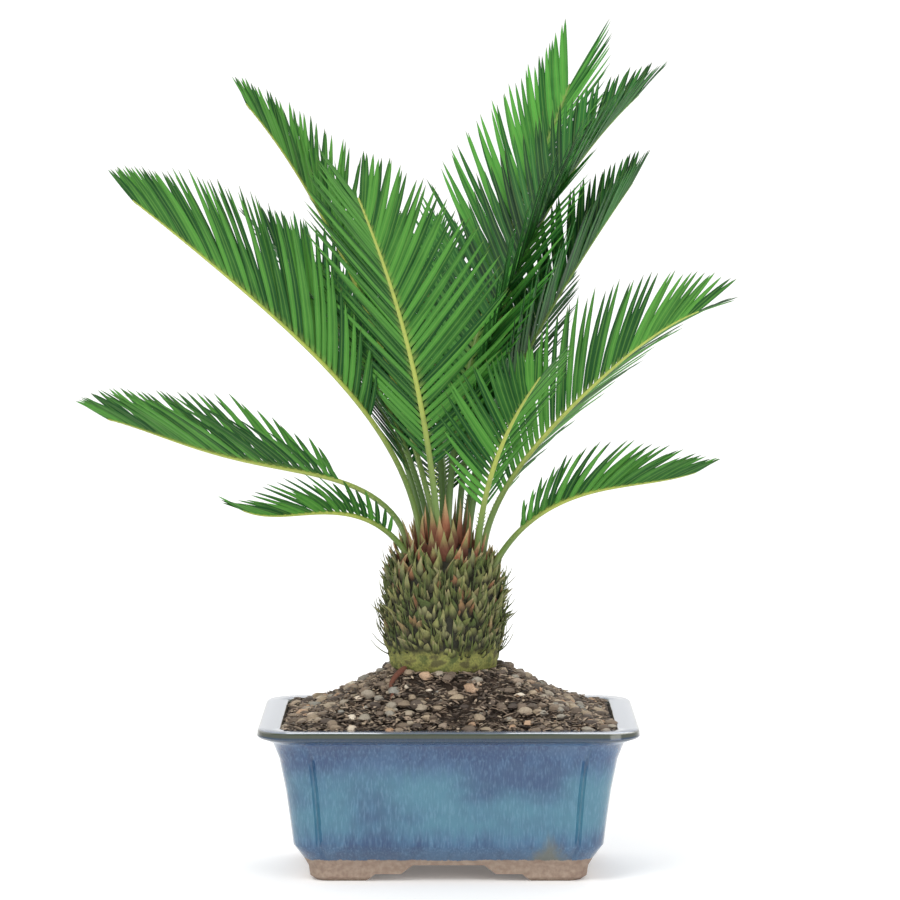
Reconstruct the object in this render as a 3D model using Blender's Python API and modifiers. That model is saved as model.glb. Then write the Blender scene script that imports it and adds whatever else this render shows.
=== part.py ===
"""Sago palm bonsai in a glazed rectangular pot. Metres, +Z up, the camera side is -Y."""

import math
from collections import namedtuple

import bmesh
import bpy
import numpy as np
from mathutils import Vector
from mathutils.bvhtree import BVHTree

# Driving dimensions of the pot, half sizes where the name says so
POT_HALF_WIDTH = 0.1015
POT_HALF_DEPTH = 0.0760
POT_HEIGHT = 0.0833
RIM_LIP_WIDTH = 0.0125
POT_FLOOR_TOP = 0.0160
INNER_LEAN = 0.0120
FLOOR_CHAMFER = 0.0060
LIP_EDGE = 0.0010
INNER_RADIUS_LIP = 0.0095
INNER_RADIUS_LOW = 0.0080
INNER_RADIUS_FLOOR = 0.0060
FOOT_RECESS = 0.0090
FOOT_RING_WIDTH = 0.0170
CUT_BELOW = 0.0030
GROOVE_WIDTH = 0.0034
GROOVE_DEPTH = 0.0014
CORNER_STEPS = 5

# How far the pot's outer wall stands in from the rim's edge, with the height
# and the corner radius there, from the feet up to the lip
POT_OUTSIDE = (
    (0.0303, 0.0000, 0.0080),
    (0.0275, 0.0022, 0.0095),
    (0.0267, 0.0076, 0.0100),
    (0.0246, 0.0114, 0.0110),
    (0.0188, 0.0200, 0.0125),
    (0.0169, 0.0348, 0.0135),
    (0.0149, 0.0491, 0.0145),
    (0.0115, 0.0667, 0.0160),
    (0.0083, 0.0752, 0.0170),
    (0.0050, 0.0772, 0.0180),
    (0.0008, 0.0789, 0.0195),
    (0.0000, 0.0800, 0.0200),
    (0.0003, 0.0824, 0.0200),
    (0.0015, 0.0833, 0.0190),
)
# The rings that carry the eight upright corner grooves
GROOVED_FROM = 0.0180
GROOVED_TO = 0.0700

# The stepped arch between two feet: half widths at its mouth, step and crown
ARCH_STEP_HEIGHT = 0.0040
ARCH_FRONT = (0.0440, 0.0392, 0.0253, 0.0189)
ARCH_SIDE = (0.0235, 0.0195, 0.0105, 0.0060)

# Driving dimensions of the soil and the trunk
CLEAR = 0.0003
SOIL_EDGE_DROP = 0.0016
GROUND = 0.1085
MOUND_TOP_RADIUS = 0.0330
MOUND_RINGS = 6
MOUND_SWELL = 1.3
TRUNK_AXIS = Vector((-0.0025, 0.0000, 0.0))
TRUNK_SIDES = 20
# Radius and height above the ground, from the flat foot to the crown's tip
TRUNK_PROFILE = (
    (0.0280, 0.0000),
    (0.0302, 0.0060),
    (0.0318, 0.0160),
    (0.0324, 0.0290),
    (0.0316, 0.0400),
    (0.0300, 0.0490),
    (0.0262, 0.0560),
    (0.0190, 0.0630),
    (0.0110, 0.0685),
    (0.0045, 0.0712),
)
# The rows of the profile from the shoulder up are the crown's slope
SHOULDER_ROW = 5
SCALE_COUNT = 84
SCALE_LENGTH = 0.0115
SCALE_HALF_WIDTH = 0.0046
SCALE_HALF_THICKNESS = 0.0022
SCALE_SUNK = 0.0022
SCALES_FROM = 0.0050
SCALES_TO = 0.0560
SPINE_COUNT = 12
SPINE_LENGTH = 0.0150
SPINE_RADIUS = 0.0011
SPINE_SUNK = 0.0015
SPINES_FROM = 0.0120
SPINES_TO = 0.0450
SHEATH_COUNT = 11
SHEATH_LENGTH = 0.0168
SHEATH_HALF_WIDTH = 0.0022
SHEATH_HALF_THICKNESS = 0.0013
SHEATH_SUNK = 0.0030
SHEATHS_FROM = 0.0060
SHEATHS_TO = 0.0230
GOLDEN_ANGLE = math.radians(137.508)

# Driving dimensions of the fronds
STALK_BASE_RADIUS = 0.0024
STALK_TIP_RADIUS = 0.0006
STALK_STEPS = 12
STALK_SUNK = 0.0080
LEAFLET_PITCH = 0.0114
LEAFLET_WIDTH = 0.0060
LEAFLET_ROOT_WIDTH = 0.0026
LEAFLET_THICKNESS = 0.0010
LEAFLET_BELLY = 0.45
LEAFLET_DROOP = 0.10
LEAFLET_FORWARD = 0.22
LEAFLET_SHORTER = (1.0, 0.8, 0.6)
# Degrees between leaflet and rib at the foot of the blade, and how they fall
LEAFLET_ANGLE = 58.0
LEAFLET_ANGLE_FALL = 30.0
LEAFLET_ANGLE_TIP_FALL = 8.0
LEAF_CLEAR = 0.0006

# seat: where the stalk leaves the crown, across and away, from the trunk's axis
# azimuth: which way the frond leads, 0 to the right and 90 away from the camera
# leans: degrees from upright at the root, one third, two thirds and the tip
# bare: the part of the stalk with no leaflets, leaflet: its longest leaflet
# end: how long the last leaflets are, as a part of the longest
# vee: how steeply the two rows rise, roll: how far the blade is turned
Frond = namedtuple("Frond", "name seat azimuth leans length bare leaflet end vee roll")
FRONDS = (
    Frond("frond_left_low_long", (-0.0195, 0.0050), 168, (0, 76, 76, 78), 0.193, 0.30, 0.064, 0.38, 46, 0),
    Frond("frond_left_low_short", (-0.0190, -0.0090), 208, (32, 70, 92, 66), 0.108, 0.16, 0.038, 0.45, 38, 0),
    Frond("frond_left_high", (-0.0124, -0.0010), 183, (4, 38, 49, 52), 0.248, 0.30, 0.082, 0.30, 52, 0),
    Frond("frond_left_behind", (-0.0070, 0.0065), 140, (12, 32, 44, 48), 0.198, 0.25, 0.074, 0.45, 30, 0),
    Frond("frond_front_left", (-0.0025, -0.0075), 245, (12, 22, 34, 42), 0.213, 0.20, 0.084, 0.45, 18, 0),
    Frond("frond_tall_left", (-0.0035, 0.0000), 165, (12, 20, 28, 42), 0.260, 0.25, 0.062, 0.35, 50, 0),
    Frond("frond_tall_right", (0.0020, -0.0055), 55, (2, 22, 35, 33), 0.278, 0.20, 0.080, 0.62, 20, 0),
    Frond("frond_tall_right_behind", (0.0075, 0.0035), 30, (3, 17, 33, 52), 0.275, 0.25, 0.066, 0.45, 40, 0),
    Frond("frond_right_behind", (0.0130, -0.0015), 25, (4, 24, 34, 38), 0.222, 0.25, 0.062, 0.40, 45, 0),
    Frond("frond_right_high", (0.0210, 0.0010), 0, (4, 38, 48, 68), 0.182, 0.18, 0.066, 0.45, 28, 40),
    Frond("frond_right_front", (0.0180, -0.0085), 296, (8, 30, 46, 54), 0.128, 0.20, 0.055, 0.50, 30, 0),
    Frond("frond_right_low", (0.0265, -0.0050), 350, (26, 58, 80, 70), 0.128, 0.20, 0.046, 0.40, 44, 0),
    Frond("frond_back_left", (-0.0100, 0.0145), 125, (10, 40, 52, 60), 0.198, 0.22, 0.066, 0.45, 35, 0),
    Frond("frond_back_right", (0.0110, 0.0115), 68, (10, 40, 54, 62), 0.190, 0.22, 0.066, 0.45, 35, 0),
    Frond("frond_back_tall", (0.0000, 0.0110), 98, (8, 28, 42, 54), 0.198, 0.22, 0.066, 0.45, 30, 0),
    Frond("frond_back_low", (0.0010, 0.0200), 92, (20, 58, 80, 88), 0.150, 0.22, 0.052, 0.45, 25, 0),
)

UP = Vector((0.0, 0.0, 1.0))


def clear_scene():
    for obj in list(bpy.data.objects):
        bpy.data.objects.remove(obj, do_unlink=True)


def new_collection(name):
    collection = bpy.data.collections.new(name)
    bpy.context.scene.collection.children.link(collection)
    return collection


def material(name, colour, roughness, metallic=0.0):
    made = bpy.data.materials.new(name)
    made.use_nodes = True
    shader = made.node_tree.nodes["Principled BSDF"]
    shader.inputs["Base Color"].default_value = (*colour, 1.0)
    shader.inputs["Roughness"].default_value = roughness
    shader.inputs["Metallic"].default_value = metallic
    return made


def object_from_bmesh(name, bm, collection, finish=None):
    """Turn a bmesh into a linked object with outward faces."""
    bmesh.ops.recalc_face_normals(bm, faces=bm.faces)
    mesh = bpy.data.meshes.new(name)
    bm.to_mesh(mesh)
    bm.free()
    obj = bpy.data.objects.new(name, mesh)
    collection.objects.link(obj)
    if finish:
        mesh.materials.append(finish)
    return obj


def apply_modifiers(obj):
    """Bake the object's modifiers into its mesh."""
    bpy.context.view_layer.update()
    evaluated = obj.evaluated_get(bpy.context.evaluated_depsgraph_get())
    mesh = bpy.data.meshes.new_from_object(evaluated)
    old = obj.data
    obj.modifiers.clear()
    obj.data = mesh
    bpy.data.meshes.remove(old)


def boolean(obj, operation, cutter=None, group=None):
    modifier = obj.modifiers.new(operation.lower(), "BOOLEAN")
    modifier.operation = operation
    modifier.solver = "EXACT"
    if group:
        modifier.operand_type = "COLLECTION"
        modifier.collection = group
    else:
        modifier.object = cutter
    apply_modifiers(obj)


def remove_group(group):
    """Remove a collection and the pieces that a union has taken up."""
    for obj in list(group.objects):
        bpy.data.objects.remove(obj, do_unlink=True)
    bpy.data.collections.remove(group)


def hide_cutter(obj):
    obj.hide_render = True
    obj.display_type = "WIRE"


def smooth(obj, angle=40.0):
    obj.data.shade_smooth()
    obj.data.set_sharp_from_angle(angle=math.radians(angle))


def rounded_outline(half_x, half_y, radius, groove=0.0):
    """One corner is a groove, a quarter round and a groove; four corners make the ring."""
    points = []
    for turn in range(4):
        half_a, half_b = (half_x, half_y) if turn % 2 == 0 else (half_y, half_x)
        corner = []
        start = -(radius - half_b) - GROOVE_WIDTH
        corner.append((half_a, start))
        corner.append((half_a - groove, start + GROOVE_WIDTH / 2))
        for step in range(CORNER_STEPS + 1):
            angle = math.radians(90.0 * step / CORNER_STEPS)
            corner.append((
                half_a - radius + radius * math.cos(angle),
                half_b - radius + radius * math.sin(angle),
            ))
        corner.append((half_a - radius - GROOVE_WIDTH / 2, half_b - groove))
        corner.append((half_a - radius - GROOVE_WIDTH, half_b))
        swing = math.radians(90.0 * turn)
        for x, y in corner:
            points.append((
                x * math.cos(swing) - y * math.sin(swing),
                x * math.sin(swing) + y * math.cos(swing),
            ))
    return points


def loft(bm, rings):
    """Skin a list of equal rings and close both ends."""
    loops = [[bm.verts.new(point) for point in ring] for ring in rings]
    count = len(loops[0])
    for lower, upper in zip(loops, loops[1:]):
        for i in range(count):
            j = (i + 1) % count
            bm.faces.new((lower[i], lower[j], upper[j], upper[i]))
    bm.faces.new(list(reversed(loops[0])))
    bm.faces.new(loops[-1])


def pot_ring(inset, height, radius, groove=0.0):
    outline = rounded_outline(POT_HALF_WIDTH - inset, POT_HALF_DEPTH - inset, radius, groove)
    return [(x, y, height) for x, y in outline]


def inner_inset(height):
    """The inner wall leans in a little towards the floor."""
    fall = (POT_HEIGHT - height) / (POT_HEIGHT - POT_FLOOR_TOP)
    return RIM_LIP_WIDTH + INNER_LEAN * fall


def arch_cutter(name, half_widths, length, turned, collection):
    """A stepped arch, cut along its whole length between two feet."""
    mouth, step_out, step_in, crown = half_widths
    right = [
        (mouth, -CUT_BELOW),
        (mouth, 0.0),
        (step_out, ARCH_STEP_HEIGHT),
        (step_in, ARCH_STEP_HEIGHT),
        (crown, FOOT_RECESS),
    ]
    profile = right + [(-x, z) for x, z in reversed(right)]
    bm = bmesh.new()
    if turned:
        rings = [[(side * length, x, z) for x, z in profile] for side in (-1, 1)]
    else:
        rings = [[(x, side * length, z) for x, z in profile] for side in (-1, 1)]
    loft(bm, rings)
    return object_from_bmesh(name, bm, collection)


def make_pot(parts, cutters, finish):
    rings = []
    for inset, height, radius in POT_OUTSIDE:
        grooved = GROOVED_FROM < height < GROOVED_TO
        rings.append(pot_ring(inset, height, radius, GROOVE_DEPTH if grooved else 0.0))
    low = POT_FLOOR_TOP + FLOOR_CHAMFER
    for inset, height, radius in (
        (RIM_LIP_WIDTH - LIP_EDGE, POT_HEIGHT, INNER_RADIUS_LIP),
        (RIM_LIP_WIDTH, POT_HEIGHT - LIP_EDGE, INNER_RADIUS_LIP),
        (inner_inset(low), low, INNER_RADIUS_LOW),
        (inner_inset(POT_FLOOR_TOP) + FLOOR_CHAMFER, POT_FLOOR_TOP, INNER_RADIUS_FLOOR),
    ):
        rings.append(pot_ring(inset, height, radius))
    bm = bmesh.new()
    loft(bm, rings)
    pot = object_from_bmesh("pot", bm, parts, finish)

    foot_inset = POT_OUTSIDE[2][0] + FOOT_RING_WIDTH
    bm = bmesh.new()
    loft(bm, [pot_ring(foot_inset, z, INNER_RADIUS_FLOOR) for z in (-CUT_BELOW, FOOT_RECESS)])
    recess = object_from_bmesh("recess_under_the_pot", bm, cutters)
    front = arch_cutter("arch_front_to_back", ARCH_FRONT, POT_HALF_DEPTH, False, cutters)
    side = arch_cutter("arch_side_to_side", ARCH_SIDE, POT_HALF_WIDTH, True, cutters)
    for cutter in (recess, front, side):
        hide_cutter(cutter)
        boolean(pot, "DIFFERENCE", cutter)
    smooth(pot)
    return pot


def soil_ring(inset, height, radius, share=0.0, round_radius=0.0):
    """A ring between the pot's inner outline (share 0) and a circle round the trunk (share 1)."""
    ring = []
    outline = rounded_outline(POT_HALF_WIDTH - inset, POT_HALF_DEPTH - inset, radius)
    for x, y in outline:
        angle = math.atan2(y, x)
        circle_x = TRUNK_AXIS.x + round_radius * math.cos(angle)
        circle_y = TRUNK_AXIS.y + round_radius * math.sin(angle)
        ring.append((x + (circle_x - x) * share, y + (circle_y - y) * share, height))
    return ring


def make_soil(parts, finish):
    floor = POT_FLOOR_TOP + CLEAR
    wall = floor + FLOOR_CHAMFER
    edge = POT_HEIGHT - SOIL_EDGE_DROP
    rim = RIM_LIP_WIDTH + CLEAR * 2
    rings = [
        soil_ring(inner_inset(floor) + FLOOR_CHAMFER + CLEAR, floor, INNER_RADIUS_FLOOR),
        soil_ring(inner_inset(wall) + CLEAR, wall, INNER_RADIUS_LOW),
        soil_ring(rim, edge, INNER_RADIUS_LIP),
    ]
    rise = GROUND - CLEAR - edge
    for step in range(1, MOUND_RINGS + 1):
        share = step / MOUND_RINGS
        height = edge + rise * math.sin(share * math.pi / 2) ** MOUND_SWELL
        rings.append(soil_ring(rim, height, INNER_RADIUS_LIP, share, MOUND_TOP_RADIUS))
    bm = bmesh.new()
    loft(bm, rings)
    soil = object_from_bmesh("soil", bm, parts, finish)
    smooth(soil, 60.0)
    return soil


def turned_body(name, profile, collection, finish=None):
    """A closed turned shape: a profile on its axis with a Screw modifier."""
    bm = bmesh.new()
    points = [(0.0, profile[0][1])] + list(profile) + [(0.0, profile[-1][1])]
    verts = [bm.verts.new((radius, 0.0, height)) for radius, height in reversed(points)]
    for first, second in zip(verts, verts[1:]):
        bm.edges.new((first, second))
    mesh = bpy.data.meshes.new(name)
    bm.to_mesh(mesh)
    bm.free()
    obj = bpy.data.objects.new(name, mesh)
    collection.objects.link(obj)
    screw = obj.modifiers.new("turn", "SCREW")
    screw.axis = "Z"
    screw.steps = TRUNK_SIDES
    screw.render_steps = TRUNK_SIDES
    screw.use_merge_vertices = True
    screw.merge_threshold = 0.00001
    apply_modifiers(obj)
    for vertex in obj.data.vertices:
        vertex.co += TRUNK_AXIS + UP * GROUND
    if finish:
        obj.data.materials.clear()
        obj.data.materials.append(finish)
    return obj


def profile_at(height):
    """Radius of the trunk at a height above the ground."""
    heights = [h for r, h in TRUNK_PROFILE]
    radii = [r for r, h in TRUNK_PROFILE]
    return float(np.interp(height, heights, radii))


def crown_height(radius):
    """Height above the ground of the crown's slope at a distance from the axis."""
    slope = TRUNK_PROFILE[SHOULDER_ROW:]
    return float(np.interp(-radius, [-r for r, h in slope], [h for r, h in slope]))


def spike(bm, root, direction, outward, half_width, half_thickness, length, sides=4):
    """A flattened cone: a leaf base, a spine or a sheath."""
    across = direction.cross(outward).normalized()
    outward = across.cross(direction).normalized()
    ring = []
    for i in range(sides):
        angle = 2 * math.pi * i / sides
        ring.append(bm.verts.new(
            root + across * half_width * math.cos(angle) + outward * half_thickness * math.sin(angle)
        ))
    tip = bm.verts.new(root + direction * length)
    for i in range(sides):
        bm.faces.new((ring[i], ring[(i + 1) % sides], tip))
    bm.faces.new(list(reversed(ring)))


def tree_of(bm_or_mesh):
    """A search tree of a mesh or bmesh, for the clearance tests."""
    if isinstance(bm_or_mesh, bmesh.types.BMesh):
        return BVHTree.FromBMesh(bm_or_mesh)
    vertices = [vertex.co for vertex in bm_or_mesh.vertices]
    polygons = [tuple(polygon.vertices) for polygon in bm_or_mesh.polygons]
    return BVHTree.FromPolygons(vertices, polygons)


def add_spike(group, name, clear_of, place):
    """Add a spike to the group unless it would touch one of the trees."""
    root, direction, outward, half_width, half_thickness, length, sides = place
    test = bmesh.new()
    wide, deep, long = half_width + LEAF_CLEAR, half_thickness + LEAF_CLEAR, length + LEAF_CLEAR
    spike(test, root, direction, outward, wide, deep, long, sides)
    touches = any(tree_of(test).overlap(tree) for tree in clear_of)
    test.free()
    if touches:
        return
    bm = bmesh.new()
    spike(bm, root, direction, outward, half_width, half_thickness, length, sides)
    object_from_bmesh(name, bm, group)


def outward_at(angle):
    return Vector((math.cos(angle), math.sin(angle), 0.0))


def make_trunk(parts, finish, stalk_trees):
    trunk = turned_body("trunk", TRUNK_PROFILE, parts, finish)
    group = new_collection("trunk_scales")
    for i in range(SCALE_COUNT):
        share = (i + 0.5) / SCALE_COUNT
        height = SCALES_FROM + (SCALES_TO - SCALES_FROM) * share
        outward = outward_at(i * GOLDEN_ANGLE)
        lean = math.radians(34.0 - 10.0 * share)
        direction = UP * math.cos(lean) + outward * math.sin(lean)
        root = TRUNK_AXIS + UP * (GROUND + height) + outward * (profile_at(height) - SCALE_SUNK)
        size = 0.80 + 0.35 * math.sin(math.pi * share)
        add_spike(group, f"scale_{i}", stalk_trees, (
            root, direction, outward, SCALE_HALF_WIDTH * size, SCALE_HALF_THICKNESS, SCALE_LENGTH * size, 4,
        ))
    for i in range(SPINE_COUNT):
        height = SPINES_FROM + (SPINES_TO - SPINES_FROM) * ((i * 5) % SPINE_COUNT) / SPINE_COUNT
        outward = outward_at(2 * math.pi * (i + 0.5) / SPINE_COUNT)
        direction = (outward + UP * 0.75).normalized()
        root = TRUNK_AXIS + UP * (GROUND + height) + outward * (profile_at(height) - SPINE_SUNK)
        add_spike(group, f"spine_{i}", stalk_trees, (
            root, direction, outward, SPINE_RADIUS, SPINE_RADIUS, SPINE_LENGTH, 3,
        ))
    for i in range(SHEATH_COUNT):
        share = (i + 0.5) / SHEATH_COUNT
        radius = SHEATHS_FROM + (SHEATHS_TO - SHEATHS_FROM) * share
        outward = outward_at((i + 0.35) * GOLDEN_ANGLE)
        direction = (UP + outward * 0.22).normalized()
        root = TRUNK_AXIS + UP * (GROUND + crown_height(radius) - SHEATH_SUNK) + outward * radius
        length = SHEATH_LENGTH * (0.90 - 0.25 * share)
        add_spike(group, f"sheath_{i}", stalk_trees, (
            root, direction, outward, SHEATH_HALF_WIDTH, SHEATH_HALF_THICKNESS, length, 4,
        ))
    boolean(trunk, "UNION", group=group)
    remove_group(group)
    smooth(trunk, 50.0)
    return trunk


def lean_at(frond, share):
    """Degrees from upright, on the smooth cubic through the four leans."""
    return np.polyval(np.polyfit((0.0, 1 / 3, 2 / 3, 1.0), frond.leans, 3), share)


def stalk_points(frond, steps):
    """The rib's centre line, from inside the crown to its tip."""
    across, away = frond.seat
    seat_height = GROUND + crown_height(math.hypot(across, away))
    point = TRUNK_AXIS + Vector((across, away, seat_height))
    heading = outward_at(math.radians(frond.azimuth))
    first = math.radians(frond.leans[0])
    start = heading * math.sin(first) + UP * math.cos(first)
    points = [point - start * STALK_SUNK, point.copy()]
    fine = 6
    for i in range(steps * fine):
        lean = math.radians(lean_at(frond, (i + 0.5) / (steps * fine)))
        point = point + (heading * math.sin(lean) + UP * math.cos(lean)) * frond.length / (steps * fine)
        if (i + 1) % fine == 0:
            points.append(point.copy())
    return points


def stalk_radius(share):
    return STALK_BASE_RADIUS + (STALK_TIP_RADIUS - STALK_BASE_RADIUS) * share ** 0.8


def make_stalk(frond, collection, finish):
    """The rib as a bevelled curve, then a mesh with welded caps."""
    curve = bpy.data.curves.new(frond.name, "CURVE")
    curve.dimensions = "3D"
    curve.bevel_depth = 1.0
    curve.bevel_resolution = 0
    curve.use_fill_caps = True
    spline = curve.splines.new("POLY")
    points = stalk_points(frond, STALK_STEPS)
    spline.points.add(len(points) - 1)
    for i, (target, point) in enumerate(zip(spline.points, points)):
        target.co = (*point, 1.0)
        target.radius = stalk_radius(max(0, i - 1) / STALK_STEPS)
    source = bpy.data.objects.new(frond.name + "_curve", curve)
    collection.objects.link(source)
    bpy.context.view_layer.update()
    evaluated = source.evaluated_get(bpy.context.evaluated_depsgraph_get())
    mesh = bpy.data.meshes.new_from_object(evaluated)
    bm = bmesh.new()
    bm.from_mesh(mesh)
    bmesh.ops.remove_doubles(bm, verts=bm.verts, dist=0.000001)
    bm.to_mesh(mesh)
    bm.free()
    obj = bpy.data.objects.new(frond.name, mesh)
    obj.matrix_world = source.matrix_world
    collection.objects.link(obj)
    bpy.data.objects.remove(source, do_unlink=True)
    bpy.data.curves.remove(curve)
    mesh.materials.clear()
    mesh.materials.append(finish)
    return obj


def blade_frame(frond, share):
    """The rib's direction, the blade's sideways and its upper face's direction."""
    lean = math.radians(lean_at(frond, share))
    heading = outward_at(math.radians(frond.azimuth))
    along = heading * math.sin(lean) + UP * math.cos(lean)
    face = UP * math.sin(lean) - heading * math.cos(lean)
    side = along.cross(face)
    roll = math.radians(frond.roll)
    return (
        along,
        side * math.cos(roll) + face * math.sin(roll),
        face * math.cos(roll) - side * math.sin(roll),
    )


def leaflet_angle(share):
    """Between leaflet and rib: wide at the foot of the blade, narrow at its tip."""
    fall = LEAFLET_ANGLE_FALL * share + LEAFLET_ANGLE_TIP_FALL * share ** 3
    return math.radians(LEAFLET_ANGLE - fall)


def leaflet_length(frond, share):
    rise = min(1.0, 0.35 + 2.6 * share)
    fall = 1.0 - (1.0 - frond.end) * max(0.0, (share - 0.35) / 0.65) ** 1.6
    return frond.leaflet * rise * fall


def leaflet_line(frond, share, hand, shorter=1.0):
    """Root, belly and tip of a leaflet, and the rib's direction at its root."""
    place = frond.bare + (1.0 - frond.bare) * share * 0.985
    points = stalk_points(frond, STALK_STEPS)[1:]
    index = min(int(place * STALK_STEPS), STALK_STEPS - 1)
    root = points[index].lerp(points[index + 1], place * STALK_STEPS - index)
    along, side, face = blade_frame(frond, place)
    angle = leaflet_angle(share)
    vee = math.radians(frond.vee)
    spread = side * hand * math.cos(vee) + face * math.sin(vee)
    direction = along * math.cos(angle) + spread * math.sin(angle)
    length = leaflet_length(frond, share) * shorter
    belly = root + direction * length * LEAFLET_BELLY
    onward = (direction + along * LEAFLET_FORWARD - UP * LEAFLET_DROOP).normalized()
    tip = belly + onward * length * (1.0 - LEAFLET_BELLY)
    return root, belly, tip, along


def leaflet_bmesh(line, grow=0.0):
    """A three-sided blade, lofted from its root through its belly to a point."""
    root, belly, tip, along = line
    direction = (tip - root).normalized()
    face = direction.cross(along).normalized()
    across = face.cross(direction).normalized()
    bm = bmesh.new()
    rings = []
    for centre, width in ((root, LEAFLET_ROOT_WIDTH), (belly, LEAFLET_WIDTH)):
        half = width / 2 + grow
        deep = LEAFLET_THICKNESS / 2 + grow
        rings.append([
            bm.verts.new(centre + across * half + face * deep),
            bm.verts.new(centre - across * half + face * deep),
            bm.verts.new(centre - face * deep),
        ])
    point = bm.verts.new(tip + direction * grow)
    for i in range(3):
        j = (i + 1) % 3
        bm.faces.new((rings[0][i], rings[0][j], rings[1][j], rings[1][i]))
        bm.faces.new((rings[1][i], rings[1][j], point))
    bm.faces.new(list(reversed(rings[0])))
    return bm


def make_frond(frond, stalk, clear_of, crown_cutter):
    """Fuse the leaflets to the rib and seat the stalk on the crown."""
    group = new_collection(frond.name + "_leaflets")
    count = max(4, round(frond.length * (1.0 - frond.bare) / LEAFLET_PITCH))
    dropped = 0
    for i in range(count):
        share = (i + 0.3) / (count - 0.7)
        for hand in (-1, 1):
            for shorter in LEAFLET_SHORTER:
                line = leaflet_line(frond, share, hand, shorter)
                test = leaflet_bmesh(line, LEAF_CLEAR)
                tree = tree_of(test)
                test.free()
                if not any(tree.overlap(other) for other in clear_of):
                    name = f"{frond.name}_leaflet_{i}_{'left' if hand < 0 else 'right'}"
                    object_from_bmesh(name, leaflet_bmesh(line), group)
                    break
            else:
                dropped += 1
    boolean(stalk, "UNION", group=group)
    remove_group(group)
    boolean(stalk, "DIFFERENCE", crown_cutter)
    smooth(stalk)
    print(frond.name, "leaflets", 2 * count - dropped, "dropped", dropped)


def main():
    clear_scene()
    parts = new_collection("sago_palm_bonsai")
    cutters = new_collection("cutters")
    glaze = material("blue_glaze", (0.075, 0.205, 0.330), 0.18)
    earth = material("potting_soil", (0.120, 0.085, 0.065), 0.95)
    bark = material("leaf_base_bark", (0.150, 0.160, 0.065), 0.85)
    leaf = material("frond_green", (0.055, 0.230, 0.045), 0.45)

    pot = make_pot(parts, cutters, glaze)
    soil = make_soil(parts, earth)

    stalks = [make_stalk(frond, parts, leaf) for frond in FRONDS]
    stalk_trees = [tree_of(stalk.data) for stalk in stalks]
    crown = [(radius + CLEAR * 1.2, height + CLEAR * 1.2) for radius, height in TRUNK_PROFILE]
    crown_cutter = turned_body("crown_clearance", crown, cutters)
    hide_cutter(crown_cutter)
    trunk = make_trunk(parts, bark, stalk_trees)

    clear_of = [tree_of(piece.data) for piece in (pot, soil, trunk)]
    for i, (frond, stalk) in enumerate(zip(FRONDS, stalks)):
        make_frond(frond, stalk, clear_of + stalk_trees[:i] + stalk_trees[i + 1:], crown_cutter)
        stalk_trees[i] = tree_of(stalk.data)

    corners = np.array([vertex.co for obj in parts.objects for vertex in obj.data.vertices])
    middle = (corners.min(axis=0) + corners.max(axis=0)) / 2
    for obj in parts.objects:
        for vertex in obj.data.vertices:
            vertex.co -= Vector((middle[0], middle[1], 0.0))


main()
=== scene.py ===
"""The sago palm bonsai dressed for its portrait: fronds, caudex, soil and glazed pot."""

import math
import random
from collections import namedtuple

import bmesh
import bpy
import numpy as np
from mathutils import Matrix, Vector, noise


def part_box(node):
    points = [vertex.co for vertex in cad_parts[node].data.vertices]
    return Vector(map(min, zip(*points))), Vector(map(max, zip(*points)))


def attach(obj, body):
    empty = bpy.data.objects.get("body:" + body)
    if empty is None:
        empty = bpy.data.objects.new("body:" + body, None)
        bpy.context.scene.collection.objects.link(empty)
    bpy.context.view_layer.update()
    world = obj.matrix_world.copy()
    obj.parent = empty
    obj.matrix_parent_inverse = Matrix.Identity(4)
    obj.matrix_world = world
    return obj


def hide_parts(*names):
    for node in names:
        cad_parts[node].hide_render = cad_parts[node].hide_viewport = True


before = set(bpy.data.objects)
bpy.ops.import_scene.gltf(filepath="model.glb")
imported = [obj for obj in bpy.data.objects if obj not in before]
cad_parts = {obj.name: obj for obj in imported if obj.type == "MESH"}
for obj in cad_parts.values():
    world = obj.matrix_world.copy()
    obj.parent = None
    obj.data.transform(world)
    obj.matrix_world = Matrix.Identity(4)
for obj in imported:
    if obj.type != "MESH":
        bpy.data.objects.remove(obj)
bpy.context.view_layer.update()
random.seed(7)

# The pot's middle, from which the plant and the camera are placed
POT_LOW, POT_HIGH = (Vector(corner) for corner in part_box("pot"))
CENTRE = Vector(((POT_LOW.x + POT_HIGH.x) / 2, (POT_LOW.y + POT_HIGH.y) / 2, 0.0))
UP = Vector((0.0, 0.0, 1.0))

# The camera, worked out from the rim's front and back edges and the feet
CAMERA_DISTANCE = 2.2
CAMERA_ELEVATION = math.radians(4.38)
CAMERA_TARGET = CENTRE + Vector((0.0008, 0.0, 0.2269))
CAMERA_LENS = 162.8
CAMERA_FAR = 50.0

# The studio: a pale sweep, and a white world that lights the plant less than the camera sees of it
WORLD_GLOW = 0.75
PAPER_GLOW = 0.12
SWEEP_HALF_WIDTH = 4.0
SWEEP_FRONT = -3.5
SWEEP_BEND_START = 1.6
SWEEP_BEND = 0.9
SWEEP_BEND_STEPS = 12
SWEEP_TOP = 5.0
LAMP_AIM_HEIGHT = 0.20

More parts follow.
